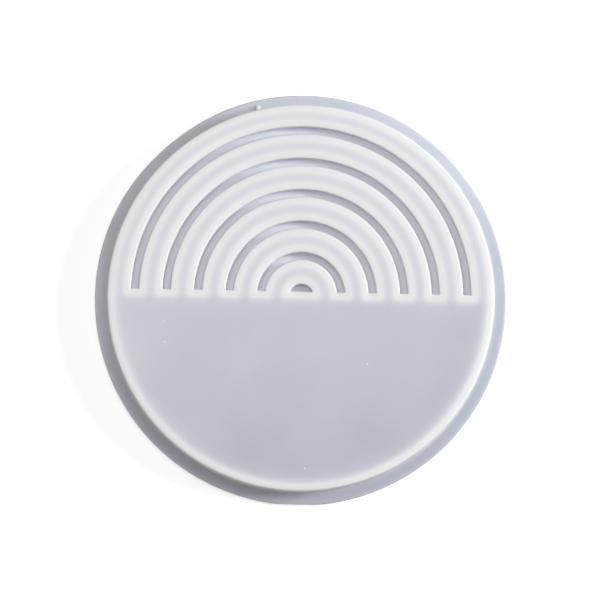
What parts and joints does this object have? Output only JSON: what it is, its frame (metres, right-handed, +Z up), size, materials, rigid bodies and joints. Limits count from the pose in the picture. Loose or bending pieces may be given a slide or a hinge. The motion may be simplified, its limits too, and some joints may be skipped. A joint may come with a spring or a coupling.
{
  "type": "resin casting mould",
  "caption": "Round soft silicone casting mould lying cavity-down: flat rim flange, shallow disc cavity, concentric arch ribs and a half-moon boss, all hollowed from the back.",
  "frame": {"origin": "centre of the disc cavity, on the underside of the rim flange, which lies on the bench", "axes": "+Z up from the rim to the back of the floor (the mould lies cavity-down), +Y from the line of the rib ends towards the crown of the arches, +X along the line of the rib ends"},
  "size_m": [0.11, 0.1097, 0.009],
  "materials": {
    "silicone": "milky translucent white silicone, satin"
  },
  "bodies": {
    "root": {"rim_flange": "silicone", "side_wall": "silicone", "floor_panel": "silicone", "arch_rib_1": "silicone", "arch_rib_2": "silicone", "arch_rib_3": "silicone", "arch_rib_4": "silicone", "arch_rib_5": "silicone", "half_moon_boss": "silicone"}
  },
  "joints": []
}
